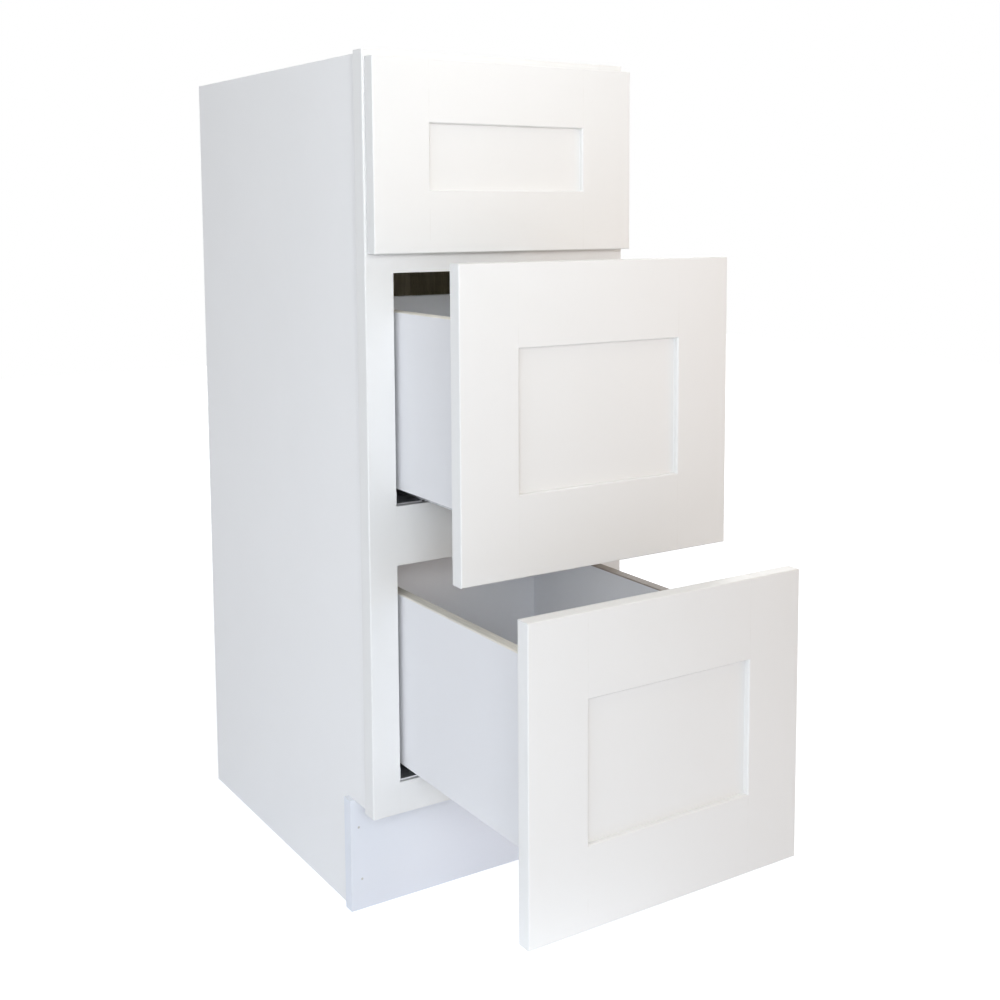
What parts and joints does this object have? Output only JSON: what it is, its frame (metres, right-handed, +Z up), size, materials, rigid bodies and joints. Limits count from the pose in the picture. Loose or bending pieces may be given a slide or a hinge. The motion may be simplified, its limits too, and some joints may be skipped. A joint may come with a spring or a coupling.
{
  "type": "base cabinet with drawers",
  "caption": "Narrow white kitchen base cabinet with a face frame, a recessed toe kick and full-overlay framed drawer fronts on soft telescopic undermount slides.",
  "frame": {"origin": "on the floor at the back plane, in the middle of the width", "axes": "+X to the right seen from the front, +Y to the wall, +Z up"},
  "size_m": [0.3048, 0.7387, 0.8763],
  "materials": {
    "painted_wood": "satin white paint on fine-grained wood",
    "coated_panel": "smooth white coated panel",
    "box_board": "smooth white coated board",
    "raw_ply": "clear-finished plywood",
    "zinc_steel": "zinc-plated folded sheet steel"
  },
  "bodies": {
    "carcass": {"side_panel_left": "coated_panel", "side_panel_right": "coated_panel", "floor_panel": "raw_ply", "back_panel": "raw_ply", "top_nailer": "raw_ply", "toe_kick_board": "coated_panel", "frame_stile_left": "painted_wood", "frame_stile_right": "painted_wood", "frame_rail_top": "painted_wood", "frame_rail_upper": "painted_wood", "frame_rail_lower": "painted_wood", "frame_rail_bottom": "painted_wood", "runner_top_left": "zinc_steel", "runner_top_right": "zinc_steel", "runner_middle_left": "zinc_steel", "runner_middle_right": "zinc_steel", "runner_bottom_left": "zinc_steel", "runner_bottom_right": "zinc_steel"},
    "drawer_top": {"top_front_stile_left": "painted_wood", "top_front_stile_right": "painted_wood", "top_front_rail_top": "painted_wood", "top_front_rail_bottom": "painted_wood", "top_front_panel": "painted_wood", "top_box_side_left": "box_board", "top_box_side_right": "box_board", "top_box_front": "box_board", "top_box_back": "box_board", "top_box_bottom": "box_board", "top_slide_member_left": "zinc_steel", "top_slide_member_right": "zinc_steel"},
    "carriage_top": {"carriage_top_left": "zinc_steel", "carriage_top_right": "zinc_steel"},
    "drawer_middle": {"middle_front_stile_left": "painted_wood", "middle_front_stile_right": "painted_wood", "middle_front_rail_top": "painted_wood", "middle_front_rail_bottom": "painted_wood", "middle_front_panel": "painted_wood", "middle_box_side_left": "box_board", "middle_box_side_right": "box_board", "middle_box_front": "box_board", "middle_box_back": "box_board", "middle_box_bottom": "box_board", "middle_slide_member_left": "zinc_steel", "middle_slide_member_right": "zinc_steel"},
    "carriage_middle": {"carriage_middle_left": "zinc_steel", "carriage_middle_right": "zinc_steel"},
    "drawer_bottom": {"bottom_front_stile_left": "painted_wood", "bottom_front_stile_right": "painted_wood", "bottom_front_rail_top": "painted_wood", "bottom_front_rail_bottom": "painted_wood", "bottom_front_panel": "painted_wood", "bottom_box_side_left": "box_board", "bottom_box_side_right": "box_board", "bottom_box_front": "box_board", "bottom_box_back": "box_board", "bottom_box_bottom": "box_board", "bottom_slide_member_left": "zinc_steel", "bottom_slide_member_right": "zinc_steel"},
    "carriage_bottom": {"carriage_bottom_left": "zinc_steel", "carriage_bottom_right": "zinc_steel"}
  },
  "joints": [
    {"name": "drawer_top_slide", "type": "slide", "parent": "carcass", "child": "drawer_top", "axis": [0, -1, 0], "range_m": [0, 0.35]},
    {"name": "carriage_top_slide", "type": "slide", "parent": "carcass", "child": "carriage_top", "axis": [0, -1, 0], "range_m": [0, 0.175]},
    {"name": "drawer_middle_slide", "type": "slide", "parent": "carcass", "child": "drawer_middle", "axis": [0, -1, 0], "range_m": [-0.1582, 0.1918]},
    {"name": "carriage_middle_slide", "type": "slide", "parent": "carcass", "child": "carriage_middle", "axis": [0, -1, 0], "range_m": [-0.0791, 0.0959]},
    {"name": "drawer_bottom_slide", "type": "slide", "parent": "carcass", "child": "drawer_bottom", "axis": [0, -1, 0], "range_m": [-0.2645, 0.0855]},
    {"name": "carriage_bottom_slide", "type": "slide", "parent": "carcass", "child": "carriage_bottom", "axis": [0, -1, 0], "range_m": [-0.13225, 0.04275]}
  ],
  "couplings": [
    {"joint": "carriage_top_slide", "follows": "drawer_top_slide", "ratio": 0.5},
    {"joint": "carriage_middle_slide", "follows": "drawer_middle_slide", "ratio": 0.5},
    {"joint": "carriage_bottom_slide", "follows": "drawer_bottom_slide", "ratio": 0.5}
  ]
}
